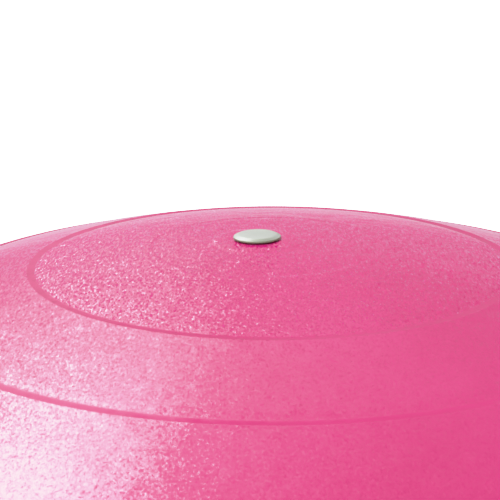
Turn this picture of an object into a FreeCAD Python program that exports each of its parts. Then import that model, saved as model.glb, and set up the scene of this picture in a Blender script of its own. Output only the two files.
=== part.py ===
import FreeCAD, Part
import os
import Sketcher

# Exercise ball: an inflated ribbed skin, a valve socket bonded under it and a pull-out plug.
# Frame: millimetres, +Z up through the valve, origin at the centre of the flat floor patch.

SIZES = (
    ("ball_radius", 375, "outside radius of the skin between its ribs"),
    ("skin_thickness", 0.7, "wall of the inflated skin"),
    ("contact_radius", 38, "radius of the patch pressed flat by the floor"),
    ("rib_height", 0.5, "how far a rib stands out of the skin"),
    ("rib_width", 2.8, "width of a rib where it meets the skin"),
    ("rib_pitch", 6, "degrees of arc from one rib to the next"),
    ("first_rib", 12, "degrees of arc from the rib axis to the first evenly pitched rib"),
    ("last_rib", 168, "degrees of arc to the last rib; one nearer to the foot would be pressed flat"),
    ("rib_tilt", 0.77, "degrees that the rib axis leans from the valve towards +X"),
    ("polar_rib", 5.7, "degrees of arc from its axis to the small rib around the valve"),
    ("polar_rib_tilt", 0.45, "degrees that the small rib's axis leans towards +X"),
    ("pad_radius", 14.3, "raised disc of skin around the valve"),
    ("pad_height", 0.35, "how far that disc stands out of the skin"),
    ("hole_radius", 5.2, "hole through the skin for the plug's shank"),
    ("flange_radius", 17, "socket flange under the skin"),
    ("flange_edge", 0.8, "flange thickness at its outer edge"),
    ("flange_root", 2.4, "flange thickness where it meets the neck"),
    ("neck_radius", 8.2, "outside of the socket's neck at the flange"),
    ("neck_end_radius", 7, "outside of the neck at its lower end"),
    ("socket_depth", 17, "from the outside of the skin to the neck's lower end"),
    ("bore_mouth_radius", 4.6, "tapered bore at the skin"),
    ("bore_end_radius", 4.1, "tapered bore at the neck's lower end"),
    ("head_radius", 7.7, "plug head"),
    ("head_edge", 0.5, "plug head's thickness at its rim"),
    ("shoulder_radius", 6.2, "where the head's sloping shoulder meets its flatter top"),
    ("shoulder_rise", 0.75, "height of that shoulder over the rim"),
    ("head_crown", 0.25, "rise of the head's top from the shoulder to the middle"),
    ("shoulder_round", 2.5, "rounding between the shoulder and the top"),
    ("head_top_round", 0.45, "rounding of the rim's upper edge"),
    ("head_under_round", 0.15, "rounding of the rim's lower edge"),
    ("collar_radius", 6, "collar under the head that sits on the pad"),
    ("collar_thickness", 0.45, "height of that collar"),
    ("shank_root_radius", 4.25, "plug shank under the collar"),
    ("shank_tip_radius", 3.6, "plug shank at its tip"),
    ("shank_length", 20, "from the outside of the skin to the shank's tip"),
    ("tip_round", 0.8, "rounding of the shank's tip"),
    ("ridge_gap", 0.05, "clearance between a sealing ridge and the bore"),
    ("ridge_half_width", 0.9, "half the height of one sealing ridge"),
    ("first_ridge", 4, "depth of the first sealing ridge's crest"),
    ("ridge_pitch", 4.5, "from one ridge to the next"),
    ("core_radius", 2.2, "blind core that lightens the shank from its tip"),
    ("core_depth", 13, "depth of that core"),
)
RIDGE_COUNT = 3
FULL_TURN = 360

SHEET = "sizes"
CENTRE_HEIGHT = "sqrt(sizes.ball_radius^2 - sizes.contact_radius^2)"
VALVE_HEIGHT = CENTRE_HEIGHT + " + sizes.ball_radius"

doc = FreeCAD.newDocument("exercise_ball")


def make_sheet():
    """Driving dimensions: name, value and meaning, one row each."""
    sheet = doc.addObject("Spreadsheet::Sheet", SHEET)
    for row, (name, value, meaning) in enumerate(SIZES, start=1):
        sheet.set(f"A{row}", name)
        sheet.set(f"B{row}", str(value))
        sheet.set(f"C{row}", meaning)
        sheet.setAlias(f"B{row}", name)
    doc.recompute()
    return sheet


sheet = make_sheet()


def value(expression):
    """What an expression on the sheet's cells comes to now."""
    return float(sheet.evalExpression(expression))


def bound(kind, name, expressions):
    """A document object whose properties follow the sheet."""
    obj = doc.addObject(kind, name)
    for prop, expression in expressions.items():
        obj.setExpression(prop, expression)
    return obj


# ---- ball skin, modelled about the ball's centre ----

# A rib is the outer part of a torus: the tube's chord is the rib's width on the skin.
RIB_TUBE = "((sizes.rib_width / 2)^2 + sizes.rib_height^2) / (2 * sizes.rib_height)"
RIB_REACH = f"(sizes.ball_radius + sizes.rib_height - {RIB_TUBE})"


def rib(name, angle, tube):
    """A rib on the parallel at this many degrees from the rib axis."""
    return bound("Part::Torus", name, {
        "Radius1": f"{RIB_REACH} * sin({angle})",
        "Radius2": tube,
        "Placement.Base.z": f"{RIB_REACH} * cos({angle})",
    })


def leaning(name, members, tilt):
    """A group of ribs whose common axis leans from +Z towards +X."""
    group = doc.addObject("Part::Compound", name)
    group.Links = members
    group.Placement.Rotation = FreeCAD.Rotation(FreeCAD.Vector(0, 1, 0), 1)
    group.setExpression("Placement.Rotation.Angle", tilt)
    return group


def flat_footed_sphere(name, radius, foot):
    """A sphere cut flat at the depth foot under its centre."""
    return bound("Part::Sphere", name, {"Radius": radius, "Angle1": f"-asin(({foot}) / ({radius}))"})


def ribbed_sphere(name, inset):
    """The skin's outside, or with an inset the same shape that far inside it, so the wall is even."""
    tube = f"{RIB_TUBE} - {inset}"
    count = round(value("(sizes.last_rib - sizes.first_rib) / sizes.rib_pitch")) + 1
    ribs = [
        rib(f"{name}_rib_{number:02d}", f"sizes.first_rib + {number} * sizes.rib_pitch", tube)
        for number in range(count)
    ]
    polar = rib(f"{name}_polar_rib", "sizes.polar_rib", tube)
    ball = doc.addObject("Part::MultiFuse", name)
    ball.Shapes = [
        flat_footed_sphere(f"{name}_sphere", f"sizes.ball_radius - {inset}", f"{CENTRE_HEIGHT} - {inset}"),
        leaning(f"{name}_ribs", ribs, "sizes.rib_tilt"),
        leaning(f"{name}_polar_ribs", [polar], "sizes.polar_rib_tilt"),
    ]
    return ball


def upward_column(name, radius):
    """A cylinder from the ball's centre up past the valve."""
    return bound("Part::Cylinder", name, {"Radius": radius, "Height": "2 * sizes.ball_radius"})


def make_pad():
    """The raised disc around the valve: a cap of a slightly larger sphere."""
    pad = doc.addObject("Part::Common", "pad")
    pad.Base = bound("Part::Sphere", "pad_sphere", {"Radius": "sizes.ball_radius + sizes.pad_height"})
    pad.Tool = upward_column("pad_column", "sizes.pad_radius")
    return pad


def make_ball_skin():
    """Thin hollow ball with raised ribs, a flat foot and a hole for the plug."""
    outside = doc.addObject("Part::Fuse", "outside")
    outside.Base = ribbed_sphere("outer", "0")
    outside.Tool = make_pad()
    shell = doc.addObject("Part::Cut", "shell")
    shell.Base = outside
    shell.Tool = ribbed_sphere("cavity", "sizes.skin_thickness")
    skin = doc.addObject("Part::Cut", "skin")
    skin.Base = shell
    skin.Tool = upward_column("valve_hole", "sizes.hole_radius")
    skin.setExpression("Placement.Base.z", CENTRE_HEIGHT)
    skin.Label = "ball_skin"
    return skin


# ---- turned pieces, modelled about the point where the valve's axis leaves the skin ----

# Sketcher's numbers for the points of an element, for the vertical axis and for the origin.
LINE_START, LINE_END = 1, 2
ARC_START, ARC_END, ARC_CENTRE = 1, 2, 3
VERTICAL_AXIS = -2
ORIGIN_POINT = (-1, 1)
SAME_EDGE = 0.001   # an edge within this of the wanted radius and height is the wanted one


def plane_of(body, role):
    return next(item for item in body.Origin.OriginFeatures if item.Role == role)


def profile(body, name, corners, domed=()):
    """A closed half section on the body's XZ plane, drawn from corner to corner.

    corners: (radius, height) pairs of expressions, and radius "0" puts a corner on the axis.
    domed: the numbers of the sides that are arcs centred on the axis instead of straight lines.
    """
    sketch = body.newObject("Sketcher::SketchObject", name)
    sketch.AttachmentSupport = [(plane_of(body, "XZ_Plane"), "")]
    sketch.MapMode = "FlatFace"
    values = [[value(item) for item in corner] for corner in corners]
    points = [FreeCAD.Vector(x, z, 0) for x, z in values]
    count = len(points)
    for side, start in enumerate(points):
        end = points[(side + 1) % count]
        sketch.addGeometry(dome(start, end) if side in domed else Part.LineSegment(start, end))
    for side, (x, z) in enumerate(corners):
        # an arc runs anticlockwise, so a domed side begins at its arc's last point
        corner = (side, ARC_END if side in domed else LINE_START)
        before = (side - 1) % count
        arrival = (before, ARC_START if before in domed else LINE_END)
        sketch.addConstraint(Sketcher.Constraint("Coincident", *arrival, *corner))
        if side in domed:
            sketch.addConstraint(Sketcher.Constraint("PointOnObject", side, ARC_CENTRE, VERTICAL_AXIS))
        if x == "0":
            sketch.addConstraint(Sketcher.Constraint("PointOnObject", *corner, VERTICAL_AXIS))
        else:
            pin_down(sketch, "DistanceX", corner, values[side][0], x)
        pin_down(sketch, "DistanceY", corner, values[side][1], z)
    return sketch


def dome(start, end):
    """The arc from start out and down to end whose centre is on the axis."""
    middle = (end.x ** 2 + end.y ** 2 - start.x ** 2 - start.y ** 2) / (2 * (end.y - start.y))
    centre = FreeCAD.Vector(0, middle, 0)
    circle = Part.Circle(centre, FreeCAD.Vector(0, 0, 1), (start - centre).Length)
    return Part.ArcOfCircle(circle, circle.parameter(end), circle.parameter(start))


def pin_down(sketch, kind, corner, distance, expression):
    """A distance from the sketch's origin to a corner that follows the sheet."""
    ends = (ORIGIN_POINT, corner)
    if distance < 0:
        ends = (corner, ORIGIN_POINT)
        expression = f"-({expression})"
    number = sketch.addConstraint(Sketcher.Constraint(kind, *ends[0], *ends[1], abs(distance)))
    sketch.setExpression(f"Constraints[{number}]", expression)


def turned(body, sketch, name):
    """The sketch revolved a full turn about the body's axis."""
    solid = body.newObject("PartDesign::Revolution", name)
    solid.Profile = sketch
    solid.ReferenceAxis = (sketch, ["V_Axis"])
    solid.Angle = FULL_TURN
    return solid


def rounded(body, base, name, radius, height, size):
    """A fillet on the circular edge of this radius at this height."""
    doc.recompute()
    wanted = [
        f"Edge{number}" for number, edge in enumerate(base.Shape.Edges, start=1)
        if not edge.Degenerated and isinstance(edge.Curve, Part.Circle)
        and abs(edge.Curve.Radius - radius) < SAME_EDGE
        and abs(edge.Curve.Center.z - height) < SAME_EDGE
    ]
    fillet = body.newObject("PartDesign::Fillet", name)
    fillet.Base = (base, wanted)
    fillet.setExpression("Radius", size)
    return fillet


def make_valve_socket():
    """Soft socket: a flange bonded to the inside of the skin and a neck with a tapered bore."""
    body = doc.addObject("PartDesign::Body", "socket_body")
    inside = "sizes.ball_radius - sizes.skin_thickness"

    def under_skin(radius):
        return f"sqrt(({inside})^2 - ({radius})^2) - sizes.ball_radius"

    corners = [
        ("sizes.bore_mouth_radius", under_skin("sizes.bore_mouth_radius")),
        ("sizes.flange_radius", under_skin("sizes.flange_radius")),
        ("sizes.flange_radius", under_skin("sizes.flange_radius") + " - sizes.flange_edge"),
        ("sizes.neck_radius", under_skin("sizes.neck_radius") + " - sizes.flange_root"),
        ("sizes.neck_end_radius", "-sizes.socket_depth"),
        ("sizes.bore_end_radius", "-sizes.socket_depth"),
    ]
    sketch = profile(body, "socket_section", corners, domed=(0,))
    turned(body, sketch, "socket_turned")
    body.setExpression("Placement.Base.z", VALVE_HEIGHT)
    body.Label = "valve_socket"
    return body


def bore_radius(depth):
    """Radius of the socket's tapered bore at a depth under the skin."""
    span = "(sizes.bore_mouth_radius - sizes.bore_end_radius)"
    return f"(sizes.bore_mouth_radius - {span} * ({depth}) / sizes.socket_depth)"


def shank_radius(depth):
    """Radius of the plug's tapered shank at a depth under the skin."""
    span = "(sizes.shank_root_radius - sizes.shank_tip_radius)"
    return f"(sizes.shank_root_radius - {span} * ({depth}) / sizes.shank_length)"


def ridge_corners(number):
    """One sealing ridge: out from the shank to a crest just clear of the bore, and back."""
    crest = f"sizes.first_ridge + {number} * sizes.ridge_pitch"
    top = f"({crest} - sizes.ridge_half_width)"
    bottom = f"({crest} + sizes.ridge_half_width)"
    return [
        (shank_radius(top), f"-{top}"),
        (f"{bore_radius(crest)} - sizes.ridge_gap", f"-({crest})"),
        (shank_radius(bottom), f"-{bottom}"),
    ]


def make_valve_plug():
    """Plug: a low domed head, a collar that sits on the pad and a ridged, cored shank."""
    body = doc.addObject("PartDesign::Body", "plug_body")
    under_head = "sizes.pad_height + sizes.collar_thickness"
    rim_top = under_head + " + sizes.head_edge"
    shoulder = rim_top + " + sizes.shoulder_rise"
    corners = [
        ("0", shoulder + " + sizes.head_crown"),
        ("sizes.shoulder_radius", shoulder),
        ("sizes.head_radius", rim_top),
        ("sizes.head_radius", under_head),
        ("sizes.collar_radius", under_head),
        ("sizes.collar_radius", "sizes.pad_height"),
        ("sizes.shank_root_radius", "sizes.pad_height"),
    ]
    for number in range(RIDGE_COUNT):
        corners += ridge_corners(number)
    corners += [
        ("sizes.shank_tip_radius", "-sizes.shank_length"),
        ("sizes.core_radius", "-sizes.shank_length"),
        ("sizes.core_radius", "-sizes.shank_length + sizes.core_depth"),
        ("0", "-sizes.shank_length + sizes.core_depth + sizes.core_radius / 2"),
    ]
    sketch = profile(body, "plug_section", corners, domed=(0,))
    solid = turned(body, sketch, "plug_turned")
    inner, head = value("sizes.shoulder_radius"), value("sizes.head_radius")
    solid = rounded(body, solid, "shoulder_edge", inner, value(shoulder), "sizes.shoulder_round")
    solid = rounded(body, solid, "head_top_edge", head, value(rim_top), "sizes.head_top_round")
    solid = rounded(body, solid, "head_under_edge", head, value(under_head), "sizes.head_under_round")
    tip = value("sizes.shank_tip_radius")
    rounded(body, solid, "tip_edge", tip, -value("sizes.shank_length"), "sizes.tip_round")
    body.setExpression("Placement.Base.z", VALVE_HEIGHT)
    body.Label = "valve_plug"
    return body


# ---- checks and output ----

def check(pieces):
    """Stop if any object failed to compute or any sub-part isn't one valid solid."""
    for obj in doc.Objects:
        bad = {"Invalid", "Error"} & set(obj.State)
        if bad:
            raise RuntimeError(f"{obj.Name} ({obj.Label}) is {sorted(bad)}")
    for piece in pieces:
        shape = piece.Shape
        if shape.isNull() or not shape.isValid() or len(shape.Solids) != 1:
            raise RuntimeError(f"{piece.Label} is not one valid solid")


def main():
    pieces = [make_ball_skin(), make_valve_socket(), make_valve_plug()]
    doc.recompute()
    check(pieces)
    os.makedirs("parts", exist_ok=True)
    for piece in pieces:
        piece.Shape.exportStep(f"parts/{piece.Label}.step")
        box = piece.Shape.BoundBox
        print(f"{piece.Label}: {piece.Shape.Volume:.1f} mm3,"
              f" x {box.XMin:.2f} to {box.XMax:.2f}, z {box.ZMin:.2f} to {box.ZMax:.2f}")


main()
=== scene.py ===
import math

import bpy
import numpy as np
from mathutils import Matrix, Vector


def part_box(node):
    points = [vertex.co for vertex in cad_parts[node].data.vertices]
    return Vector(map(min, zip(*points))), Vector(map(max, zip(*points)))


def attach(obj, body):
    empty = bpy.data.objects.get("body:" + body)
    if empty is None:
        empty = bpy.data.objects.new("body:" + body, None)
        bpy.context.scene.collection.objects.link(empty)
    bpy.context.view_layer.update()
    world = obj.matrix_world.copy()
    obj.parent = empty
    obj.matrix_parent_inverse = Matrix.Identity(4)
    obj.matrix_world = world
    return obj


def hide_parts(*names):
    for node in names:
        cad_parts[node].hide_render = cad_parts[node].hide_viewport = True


# Exercise ball: the pink skin as a closed thin wall with finely shaped ribs, and materials for the
# valve's socket and plug, in a plain white studio. Metres, +Z up, origin under the ball on the floor.

MM = 0.001

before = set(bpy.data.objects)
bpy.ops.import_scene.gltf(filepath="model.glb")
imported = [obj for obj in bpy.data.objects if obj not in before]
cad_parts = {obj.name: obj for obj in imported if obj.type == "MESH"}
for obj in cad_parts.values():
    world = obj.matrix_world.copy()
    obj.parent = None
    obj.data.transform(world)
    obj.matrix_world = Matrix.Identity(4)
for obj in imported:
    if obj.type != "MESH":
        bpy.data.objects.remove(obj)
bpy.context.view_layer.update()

# ---- sizes shared with the CAD part, and places read from the frame ----

RIB_HEIGHT = 0.5 * MM      # a rib over the lowest skin next to it
PAD_HEIGHT = 0.35 * MM     # the disc around the valve over the skin next to it
PAD_RADIUS = 14.3 * MM
HOLE_RADIUS = 5.2 * MM
SKIN = 0.7 * MM

skin_low, skin_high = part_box("ball_skin")
RADIUS = (skin_high.y - skin_low.y) / 2 - RIB_HEIGHT
POLE_Z = skin_high.z - PAD_HEIGHT + HOLE_RADIUS ** 2 / (2 * RADIUS)
CENTRE_Z = POLE_Z - RADIUS
FOOT_RADIUS = math.sqrt(RADIUS ** 2 - CENTRE_Z ** 2)

# ---- layout of the ribs, in degrees of arc from the rib axis ----

POLAR_RIB = 5.7
FIRST_RIB = 12.0
RIB_PITCH = 6.0
RIB_COUNT = 27
RIBS = [POLAR_RIB] + [FIRST_RIB + RIB_PITCH * number for number in range(RIB_COUNT)]
POLAR_TILT = 0.45          # lean of the small rib's axis from the valve towards +X
RIB_TILT = 0.77            # lean of the other ribs' axis
EQUATOR = 90
FOOT_ANGLE = 180 - math.degrees(math.asin(FOOT_RADIUS / RADIUS))
PAD_ANGLE = math.degrees(PAD_RADIUS / RADIUS)
HOLE_ANGLE = math.degrees(math.asin(HOLE_RADIUS / RADIUS))

# ---- how finely the skin is divided ----

COLUMNS = 240
INNER_ROWS = 34
CLOSE_RIBS = 5             # ribs near the valve, which get more rows of points

# Places of the rows at a rib, in mm past its line away from the nearer pole.
CLOSE_ROWS = (-5.5, -4.2, -3.2, -2.5, -2.0, -1.6, -1.2, -0.8, -0.4,
              0.0, 0.3, 0.6, 0.85, 1.0, 1.3, 1.9, 2.8, 4.2)
FAR_ROWS = (-4.6, -2.8, -2.0, -1.2, 0.0, 0.85, 1.0, 2.4)
CLOSE_BETWEEN, FAR_BETWEEN = 5, 2    # rows between one rib and the next

PAD_SLOPE = 1.6                      # mm on either side of the pad's edge that slope down
PAD_ROWS = (0.3, 0.7, 1.1, PAD_SLOPE)
FOOT_SLOPE = 6 * MM                  # the relief of the skin ends over this far at the foot

# ---- section of a rib ----

RISE_POWER = 1.25          # above 1, the rise starts softly and meets the crest at a sharp edge
FALL_LENGTH = 3 * MM       # how slowly the skin falls behind the crest
BAND_START = 0.3 * MM      # from the foot of the rise to the edge of the grain
BAND_FADE = 0.35 * MM      # how softly the grain ends there
LOW_GRAIN = 0.38           # strength of the grain outside the first full-size rib


def smooth(low, high, x):
    """0 below low, 1 above high and a smooth step between them."""
    t = np.clip((x - low) / (high - low), 0, 1)
    return t * t * (3 - 2 * t)


class Rib:
    """A rib's section: a shallow dip, a rounded rise, a sharp crest and a soft fall.

    start, foot and crest: where the dip starts, where the rise starts and where it ends, in mm past
    the rib's line. dip, rise and fall: how far the skin goes down, up and down again, in mm.
    smooth_side: how completely the rise is free of grain, from 0 to 1.
    """

    def __init__(self, start, foot, crest, dip, rise, fall, smooth_side):
        self.start, self.foot, self.crest = start * MM, foot * MM, crest * MM
        self.dip, self.rise, self.fall = dip * MM, rise * MM, fall * MM
        self.smooth_side = smooth_side
        self.step = self.rise - self.dip - self.fall

    def height(self, away):
        """Height at this distance past the rib's line, over the skin well before it."""
        dipped = smooth(self.start, self.foot, away)
        risen = np.clip((away - self.foot) / (self.crest - self.foot), 0, 1) ** RISE_POWER
        fallen = 1 - np.exp(-np.clip(away - self.crest, 0, None) / FALL_LENGTH)
        return self.rise * risen - self.dip * dipped - self.fall * fallen

    def band(self, away):
        """How free of grain the skin is at this distance past the rib's line."""
        low, high = self.foot + BAND_START, self.crest
        on_rise = smooth(low - BAND_FADE, low, away) - smooth(high - BAND_FADE, high, away)
        return self.smooth_side * on_rise


SMALL_RIB = Rib(-5.0, -1.1, 0.5, dip=0.04, rise=0.14, fall=0.1, smooth_side=0.3)
FULL_RIB = Rib(-5.5, -1.9, 0.9, dip=0.1, rise=0.6, fall=0.12, smooth_side=1.0)


# ---- the skin's mesh ----

def rows_of_skin():
    """Degrees of arc from the pole of every row of points, from the hole's edge to the foot."""
    per_mm = math.degrees(MM / RADIUS)
    rows = {HOLE_ANGLE, PAD_ANGLE, FOOT_ANGLE}
    for number, rib in enumerate(RIBS):
        side = 1 if rib <= EQUATOR else -1
        for offset in CLOSE_ROWS if number < CLOSE_RIBS else FAR_ROWS:
            rows.add(rib + side * offset * per_mm)
    edges = [HOLE_ANGLE, PAD_ANGLE] + RIBS + [FOOT_ANGLE]
    for low, high in zip(edges, edges[1:]):
        between = CLOSE_BETWEEN if high < RIBS[CLOSE_RIBS] else FAR_BETWEEN
        rows |= {low + (high - low) * (i + 1) / (between + 1) for i in range(between)}
    for offset in PAD_ROWS:
        rows |= {PAD_ANGLE - offset * per_mm, PAD_ANGLE + offset * per_mm}
    return np.array(sorted(row for row in rows if HOLE_ANGLE <= row <= FOOT_ANGLE))


def lean(angle):
    """Lean in degrees of the circle of points this many degrees from the pole."""
    steps = [0, PAD_ANGLE, POLAR_RIB, RIBS[1], RIBS[-1], FOOT_ANGLE]
    leans = [0, 0, POLAR_TILT, RIB_TILT, RIB_TILT, 0]
    return np.interp(angle, steps, leans)


def relief(angle):
    """For each angle: height of the skin over the plain sphere, and strength of its grain."""
    arc = np.radians(np.minimum(angle, 180 - angle)) * RADIUS
    height = np.full_like(arc, FULL_RIB.dip)
    grain = np.where(angle < FIRST_RIB, 1.0, LOW_GRAIN)
    for degrees in [rib for rib in RIBS if rib <= EQUATOR]:
        rib = SMALL_RIB if degrees == POLAR_RIB else FULL_RIB
        away = arc - math.radians(degrees) * RADIUS
        height += rib.height(away)
        grain *= 1 - rib.band(away)
    first, pitch = math.radians(FIRST_RIB) * RADIUS, math.radians(RIB_PITCH) * RADIUS
    height -= FULL_RIB.step * np.clip((arc - first) / pitch, 0, None)
    pad_edge = math.radians(PAD_ANGLE) * RADIUS
    on_pad = (angle < EQUATOR) * (1 - smooth(-PAD_SLOPE * MM, PAD_SLOPE * MM, arc - pad_edge))
    height += (PAD_HEIGHT - height) * on_pad
    off_foot = smooth(0, FOOT_SLOPE, np.radians(FOOT_ANGLE - angle) * RADIUS)
    return height * off_foot, grain


def ring_points(angle, radius):
    """One ring of points about the ball's centre, for each angle and radius."""
    turn = np.arange(COLUMNS) * 2 * np.pi / COLUMNS
    a = np.radians(angle)[:, None]
    tilt = np.radians(lean(angle))[:, None]
    r = np.asarray(radius)[:, None]
    x = r * np.sin(a) * np.cos(turn)
    y = r * np.sin(a) * np.sin(turn)
    z = r * np.cos(a) * np.ones(COLUMNS)
    leaning = (x * np.cos(tilt) + z * np.sin(tilt), y, z * np.cos(tilt) - x * np.sin(tilt))
    return np.stack(leaning, -1) + [0, 0, CENTRE_Z]


def wall_faces(first_inner, count, below, above):
    """Faces between the rings, round the hole's edge, and a disc on each side of the foot."""
    column = np.arange(COLUMNS)
    after = (column + 1) % COLUMNS
    faces = []
    for row in range(count):
        if row == first_inner - 1:
            continue
        a, b = row * COLUMNS, (row + 1) % count * COLUMNS
        faces += np.stack([a + column, b + column, b + after, a + after], 1).tolist()
    outer, inner = (first_inner - 1) * COLUMNS, first_inner * COLUMNS
    for here, there in zip(column.tolist(), after.tolist()):
        faces.append([outer + here, below, outer + there])
        faces.append([inner + there, above, inner + here])
    return faces


def build_skin():
    """The ball's skin as one closed thin wall: outside, edge of the hole and inside."""
    angles = rows_of_skin()
    height, grain = relief(angles)
    outer = ring_points(angles, RADIUS + height)
    outer[-1, :, 2] = 0
    inner_angles = np.linspace(FOOT_ANGLE, HOLE_ANGLE, INNER_ROWS)
    inner = ring_points(inner_angles, np.full(INNER_ROWS, RADIUS - SKIN))
    inner[0, :, 2] = SKIN
    rings = np.concatenate([outer, inner])
    foot_centres = [[0, 0, 0], [0, 0, SKIN]]
    verts = np.concatenate([rings.reshape(-1, 3), foot_centres])
    faces = wall_faces(len(outer), len(rings), below=len(verts) - 2, above=len(verts) - 1)
    mesh = bpy.data.meshes.new("ball_skin_visual")
    mesh.from_pydata(verts.tolist(), [], faces)
    mesh.polygons.foreach_set("use_smooth", np.ones(len(mesh.polygons), bool))
    no_grain = np.zeros(INNER_ROWS * COLUMNS + len(foot_centres))
    carried = np.concatenate([np.repeat(grain, COLUMNS), no_grain])
    attribute = mesh.attributes.new("grain", "FLOAT", "POINT")
    attribute.data.foreach_set("value", carried.astype(np.float32))
    mesh.update()
    mesh.validate()
    skin = bpy.data.objects.new("ball_skin_visual", mesh)
    bpy.context.scene.collection.objects.link(skin)
    return skin


# ---- materials ----

# Colours are linear red, green, blue and alpha.
PINK_DEEP, PINK_PALE = (0.67, 0.021, 0.180, 1), (0.76, 0.034, 0.225, 1)
# painted sheen: brighter pinks that the grain's facets take towards grazing views
PAINTED_SHEEN_DEEP, PAINTED_SHEEN_PALE = (1.0, 0.004, 0.29, 1), (1.0, 0.24, 0.60, 1)
# painted sheen along the ball's outline
PAINTED_RIM_SHEEN = (1.0, 0.48, 0.68, 1)
PLUG_DARK, PLUG_LIGHT = (0.44, 0.47, 0.425, 1), (0.52, 0.54, 0.505, 1)
# painted shade for the front of the plug's head
PLUG_PAINTED_SHADE = (0.25, 0.28, 0.19, 1)
SOCKET_DARK, SOCKET_LIGHT = (0.56, 0.018, 0.15, 1), (0.64, 0.028, 0.19, 1)
FLOOR_GREY = (0.82, 0.82, 0.82, 1)
WHITE_LIGHT = (1, 1, 1, 1)

GRAIN_SIZE = 0.75 * MM
SOFT_GRAIN_SIZE, SOFT_GRAIN = 2.2 * MM, 0.1   # coarser and weaker grain under the fine one
GRAIN_TILT = (0.75, 1.9, 1.9)   # how strongly the grain tilts the surface along X, Y and Z
FACET_SIGHT = 0.18              # least cosine to the eye: steeper facets hide behind others

# The grain is drawn out along Y, most at the valve and less towards the front, so that it looks
# round at the camera's low angle: Y is scaled by AT_VALVE, plus PER_METRE for each metre of Y.
GRAZE_AT_VALVE, GRAZE_PER_METRE = 0.254, -1.65


class Nodes:
    """A short way to write a node tree."""

    def __init__(self, tree):
        self.tree = tree

    def add(self, kind, inputs=None, **settings):
        node = self.tree.nodes.new(kind)
        for key, setting in settings.items():
            setattr(node, key, setting)
        for key, source in (inputs or {}).items():
            self.set(node.inputs[key], source)
        return node

    def set(self, socket, source):
        if isinstance(source, bpy.types.NodeSocket):
            self.tree.links.new(source, socket)
        else:
            socket.default_value = source

    def math(self, operation, *values):
        node = self.add("ShaderNodeMath", operation=operation)
        for socket, source in zip(node.inputs, values):
            self.set(socket, source)
        return node.outputs[0]

    def times(self, a, b):
        return self.math("MULTIPLY", a, b)

    def vector(self, operation, *values):
        node = self.add("ShaderNodeVectorMath", operation=operation)
        for socket, source in zip(node.inputs, values):
            self.set(socket, source)
        return node.outputs["Value" if operation in ("DOT_PRODUCT", "LENGTH") else "Vector"]

    def dot(self, a, b):
        return self.vector("DOT_PRODUCT", a, tuple(b) if isinstance(b, Vector) else b)

    def scaled(self, vector, scale):
        inputs = {"Vector": vector, "Scale": scale}
        return self.add("ShaderNodeVectorMath", inputs, operation="SCALE").outputs["Vector"]

    def mix(self, factor, a, b):
        node = self.add("ShaderNodeMix", {"Factor": factor}, data_type="RGBA")
        self.set(node.inputs["A"], a)
        self.set(node.inputs["B"], b)
        return node.outputs["Result"]

    def between(self, source, low, high, start=0.0, end=1.0):
        """source, from start to end, stretched smoothly onto low to high."""
        inputs = {"Value": source, "From Min": start, "From Max": end, "To Min": low, "To Max": high}
        node = self.add("ShaderNodeMapRange", inputs, interpolation_type="SMOOTHSTEP")
        return node.outputs["Result"]


class Finish(Nodes):
    """A material's node tree, with textures that lie in the object's own space."""

    def __init__(self, name):
        self.material = bpy.data.materials.new(name)
        self.material.use_nodes = True
        super().__init__(self.material.node_tree)
        self.shader = self.tree.nodes["Principled BSDF"]
        self.where = self.add("ShaderNodeTexCoord").outputs["Object"]

    def noise(self, size, detail=2.0):
        inputs = {"Vector": self.where, "Scale": 1 / size, "Detail": detail, "Roughness": 0.5}
        return self.add("ShaderNodeTexNoise", inputs).outputs["Fac"]

    def speckle(self, size, where):
        """A small random vector at every point, mostly very short."""
        inputs = {"Vector": where, "Scale": 1 / size, "Detail": 2.0, "Roughness": 0.6}
        colour = self.add("ShaderNodeTexNoise", inputs).outputs["Color"]
        even = self.vector("SUBTRACT", colour, (0.5, 0.5, 0.5))
        length = self.times(self.vector("LENGTH", even), 6.0)
        return self.scaled(even, self.math("MINIMUM", length, 1.1))

    def attribute(self, name):
        return self.add("ShaderNodeAttribute", attribute_name=name).outputs["Fac"]

    def bump(self, height, depth):
        """Normal of bumps this deep where height is 1."""
        inputs = {"Height": height, "Distance": depth, "Strength": 1.0}
        return self.add("ShaderNodeBump", inputs).outputs["Normal"]

    def surface(self):
        """The surface's own normal and the direction to the eye."""
        outputs = self.add("ShaderNodeNewGeometry").outputs
        return outputs["Normal"], outputs["Incoming"]

    def wear(self, **settings):
        for key, source in settings.items():
            self.set(self.shader.inputs[key.replace("_", " ")], source)
        return self.material


def drawn_out(n):
    """The place on the skin, with Y scaled down so that the grain is drawn out along it."""
    x, y, z = n.add("ShaderNodeSeparateXYZ", {"Vector": n.where}).outputs
    in_front = n.math("MINIMUM", y, 0.0)
    y = n.times(y, n.math("MULTIPLY_ADD", in_front, GRAZE_PER_METRE, GRAZE_AT_VALVE))
    return n.add("ShaderNodeCombineXYZ", {"X": x, "Y": y, "Z": z}).outputs["Vector"]


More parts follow.
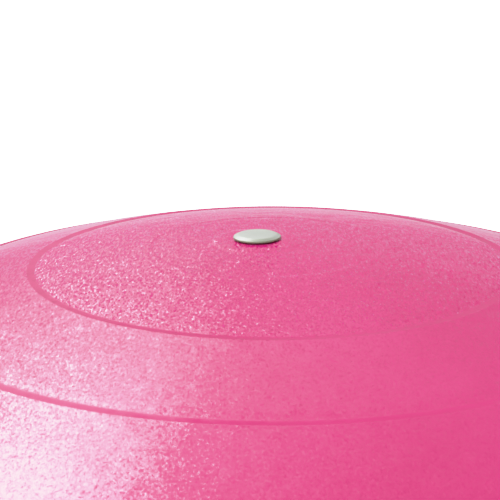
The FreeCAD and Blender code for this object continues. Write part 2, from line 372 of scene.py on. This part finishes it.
def skin_material():
    """Soft pink PVC: fine glinting grain, smooth rib sides, slight clouding of the colour, painted
    light and sheen on the grain's facets and a painted sheen along the outline.
    """
    n = Finish("pink_pvc")
    where = drawn_out(n)
    strength = n.attribute("grain")
    grain = n.scaled(n.speckle(GRAIN_SIZE, where), strength)
    soft = n.scaled(n.speckle(SOFT_GRAIN_SIZE, where), SOFT_GRAIN)
    tilt = n.vector("MULTIPLY", n.vector("ADD", grain, soft), GRAIN_TILT)
    plain_normal = n.bump(n.noise(9 * MM, detail=1.0), 0.25 * MM)
    normal = n.vector("NORMALIZE", n.vector("ADD", plain_normal, tilt))

    # a facet that would face too far from the eye is turned back towards it
    eye = n.surface()[1]
    sight = n.dot(normal, eye)
    hidden = n.math("MAXIMUM", n.math("SUBTRACT", FACET_SIGHT, sight), 0.0)
    facet = n.vector("NORMALIZE", n.vector("ADD", normal, n.scaled(eye, hidden)))

    # clouds of a deeper and a paler pink, plus painted light: a little paler on the facets that face
    # the window
    clouds = n.between(n.noise(60 * MM, detail=3.0), 0.0, 0.5, 0.3, 0.7)
    painted_window_light = n.between(n.dot(grain, (-0.5, -0.85, 0.0)), 0.0, 0.5, -0.25, 0.25)
    colour = n.mix(n.math("ADD", clouds, painted_window_light), PINK_DEEP, PINK_PALE)

    # painted sheen: facets seen edge-on turn to deep or pale specks of a brighter pink, and the
    # ball's outline gets a painted pale sheen
    speck = n.dot(n.vector("NORMALIZE", grain), (0.2, -0.45, 0.85))
    painted_sheen = n.mix(n.between(speck, 0.0, 1.0, 0.0, 0.7), PAINTED_SHEEN_DEEP, PAINTED_SHEEN_PALE)
    grained = n.between(strength, 0.0, 1.0, 0.0, LOW_GRAIN)
    colour = n.mix(n.times(n.between(sight, 1.0, 0.0, 0.0, 0.4), grained), colour, painted_sheen)
    # painted sheen: the skin turns a pale pink where it is seen edge-on at the outline
    rim_sheen = n.between(n.dot(plain_normal, eye), 1.0, 0.0, 0.0, 0.18)
    colour = n.mix(n.times(rim_sheen, grained), colour, PAINTED_RIM_SHEEN)
    return n.wear(Base_Color=colour, Roughness=n.between(n.noise(25 * MM), 0.09, 0.13, 0.3, 0.7),
                  Specular_IOR_Level=n.math("MULTIPLY_ADD", grained, 0.22, 0.28),
                  IOR=1.5, Normal=facet)


def plug_material():
    """White polyethylene with a faint grey-green cast, waxy, with painted olive shade round the
    head's front.
    """
    n = Finish("white_polyethylene")
    top = n.mix(n.noise(4 * MM, detail=3.0), PLUG_DARK, PLUG_LIGHT)
    towards_front = n.dot(n.surface()[0], (0.15, -0.85, -0.5))
    head_bottom = POLE_Z + PAD_HEIGHT
    on_head = n.between(n.dot(n.where, (0, 0, 1)), 0.0, 1.0, head_bottom, head_bottom + 0.3 * MM)
    # painted shade: the head darkens to olive where it faces the front and down
    painted_front_shade = n.times(on_head, n.between(towards_front, 0.0, 1.0, -0.32, 0.1))
    fine = n.noise(0.5 * MM)
    return n.wear(Base_Color=n.mix(painted_front_shade, top, PLUG_PAINTED_SHADE), Roughness=n.between(fine, 0.32, 0.45),
                  Normal=n.bump(fine, 0.02 * MM))


def socket_material():
    """The socket's softer, darker pink PVC."""
    n = Finish("socket_pvc")
    fine = n.noise(0.6 * MM)
    return n.wear(Base_Color=n.mix(n.noise(6 * MM, detail=3.0), SOCKET_DARK, SOCKET_LIGHT),
                  Roughness=n.between(fine, 0.35, 0.5), Normal=n.bump(fine, 0.03 * MM))


def give(obj, material):
    """Gives every part of the object this one material."""
    obj.data.materials.clear()
    obj.data.materials.append(material)


# ---- floor, light and camera ----

WHITE = 3.0                # radiance that is pure white in the picture
FLOOR_RADIUS = 14
FLOOR_MIRRORED = 0.65      # radiance of the far floor where the ball mirrors it


def direction(azimuth, elevation):
    """Unit vector at degrees clockwise from +Y seen from above, and degrees above the horizon."""
    a, e = math.radians(azimuth), math.radians(elevation)
    return Vector((math.sin(a) * math.cos(e), math.cos(a) * math.cos(e), math.sin(e)))


def make_floor():
    """A round pale floor that turns pure white to the camera away from the ball."""
    bpy.ops.mesh.primitive_circle_add(vertices=128, radius=FLOOR_RADIUS, fill_type="NGON",
                                      location=(0, 0, 0))
    floor = bpy.context.object
    floor.name = "floor"
    n = Finish("pale_floor")
    far = n.between(n.vector("LENGTH", n.where), 0.0, 1.0, 1.0, 2.6)
    path = n.add("ShaderNodeLightPath").outputs
    mirrored = n.times(path["Is Glossy Ray"], FLOOR_MIRRORED)
    seen = n.math("MULTIPLY_ADD", path["Is Camera Ray"], WHITE, mirrored)
    give(floor, n.wear(Base_Color=FLOOR_GREY, Roughness=0.9, Emission_Color=WHITE_LIGHT,
                       Emission_Strength=n.times(far, seen)))


# The one big window that the ball mirrors: a bright core that fades away round it, cut off on its
# right by a slanted edge above and by an upright jamb below.
WINDOW, WINDOW_RADIANCE = direction(-46, 59), 16.5
WINDOW_CORE, WINDOW_FADE = math.radians(6), math.radians(13)
WINDOW_EDGE = Vector((0.943, -0.203, 0.263)).normalized()    # points away from the edge
WINDOW_JAMB = direction(86.5, 0)                             # points away from the jamb
EDGE_GLOW = 0.22           # how far from the edge the room is lighter


def make_world():
    """White for the camera. The reflections see a studio room with one big soft window."""
    world = bpy.data.worlds.new("studio")
    bpy.context.scene.world = world
    world.use_nodes = True
    world.cycles_visibility.diffuse = False
    n = Nodes(world.node_tree)
    towards = n.add("ShaderNodeTexCoord").outputs["Generated"]
    up = n.dot(towards, (0, 0, 1))
    beside = n.dot(towards, WINDOW_EDGE)

    glow = n.math("EXPONENT", n.math("DIVIDE", n.math("ABSOLUTE", beside), -EDGE_GLOW))
    walls = n.between(up, 0.42, 0.55, 0.1, 0.5)
    room = n.math("MULTIPLY_ADD", glow, n.between(up, 0.0, 2.2, 0.52, 0.85), walls)

    off = n.math("ARCCOSINE", n.dot(towards, WINDOW))
    off = n.math("SQRT", n.math("MULTIPLY_ADD", off, off, WINDOW_CORE ** 2))
    lobe = n.math("EXPONENT", n.math("DIVIDE", n.math("SUBTRACT", WINDOW_CORE, off), WINDOW_FADE))

    lit = n.between(beside, WINDOW_RADIANCE, 0.0, -0.05, 0.015)
    lit = n.times(lit, n.between(beside, 1.0, 0.5, -0.26, 0.0))
    lit = n.times(lit, n.between(n.dot(towards, WINDOW_JAMB), 1.0, 0.0, -0.04, 0.02))
    lit = n.times(lit, n.between(up, 0.25, 1.0, 0.12, 0.5))
    light = n.math("MULTIPLY_ADD", lobe, lit, room)

    seen = n.add("ShaderNodeLightPath").outputs["Is Camera Ray"]
    background = n.tree.nodes["Background"]
    n.set(background.inputs["Color"], WHITE_LIGHT)
    n.set(background.inputs["Strength"], n.math("MAXIMUM", n.times(seen, WHITE), light))


def lamp(name, towards, distance, side, radiance):
    """A square lamp in this direction from the valve, facing it. It isn't seen or reflected."""
    data = bpy.data.lights.new(name, "AREA")
    data.size = side
    data.energy = radiance * math.pi * side ** 2
    obj = bpy.data.objects.new(name, data)
    bpy.context.scene.collection.objects.link(obj)
    obj.location = Vector((0, 0, POLE_Z)) + towards * distance
    obj.rotation_euler = towards.to_track_quat("Z", "Y").to_euler()
    obj.visible_glossy = False
    obj.visible_camera = False


CAMERA_DISTANCE = 513.1 * MM     # from the valve
CAMERA_ELEVATION = 14.745
CAMERA_SENSOR, CAMERA_LENS = 36, 114.87
CAMERA_AIM = (("X", -0.358), ("Y", 0.264), ("Z", -0.881))    # degrees off the valve


def make_camera():
    """Close to the top of the ball and a little above it, aimed just off the valve."""
    data = bpy.data.cameras.new("camera")
    data.sensor_width = CAMERA_SENSOR
    data.lens = CAMERA_LENS
    data.clip_start = 10 * MM
    camera = bpy.data.objects.new("camera", data)
    bpy.context.scene.collection.objects.link(camera)
    back = -direction(0, -CAMERA_ELEVATION)
    right = Vector((1, 0, 0))
    turn = Matrix((right, back.cross(right), back)).transposed().to_4x4()
    for axis, degrees in CAMERA_AIM:
        turn = turn @ Matrix.Rotation(math.radians(degrees), 4, axis)
    place = Vector((0, 0, POLE_Z)) + back * CAMERA_DISTANCE
    camera.matrix_world = Matrix.Translation(place) @ turn
    bpy.context.scene.camera = camera


FILM_TOP = 2.2             # radiance at the film curve's end
FILM_SHOULDER = ((0.4, 0.4), (0.75, 0.745), (0.85, 0.815), (1.05, 0.88), (1.4, 0.947))


def set_film():
    """Plain colours, with the brightest ones rolled off softly, as film does."""
    settings = bpy.context.scene.view_settings
    settings.view_transform = "Standard"
    settings.use_curve_mapping = True
    mapping = settings.curve_mapping
    mapping.white_level = (FILM_TOP, FILM_TOP, FILM_TOP)
    all_channels = mapping.curves[3]
    for radiance, shown in FILM_SHOULDER:
        all_channels.points.new(radiance / FILM_TOP, shown)
    mapping.update()


skin = build_skin()
give(skin, skin_material())
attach(skin, "ball")
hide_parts("ball_skin")
give(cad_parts["valve_socket"], socket_material())
give(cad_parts["valve_plug"], plug_material())

make_floor()
make_world()
lamp("overhead", direction(0, 90), distance=2.2, side=2.4, radiance=1.85)
lamp("fill", direction(195, 35), distance=2.2, side=1.5, radiance=4.2)
lamp("window", direction(-42, 52), distance=2.0, side=1.2, radiance=3.3)
lamp("back", direction(35, 30), distance=2.4, side=1.5, radiance=1.0)
make_camera()
set_film()
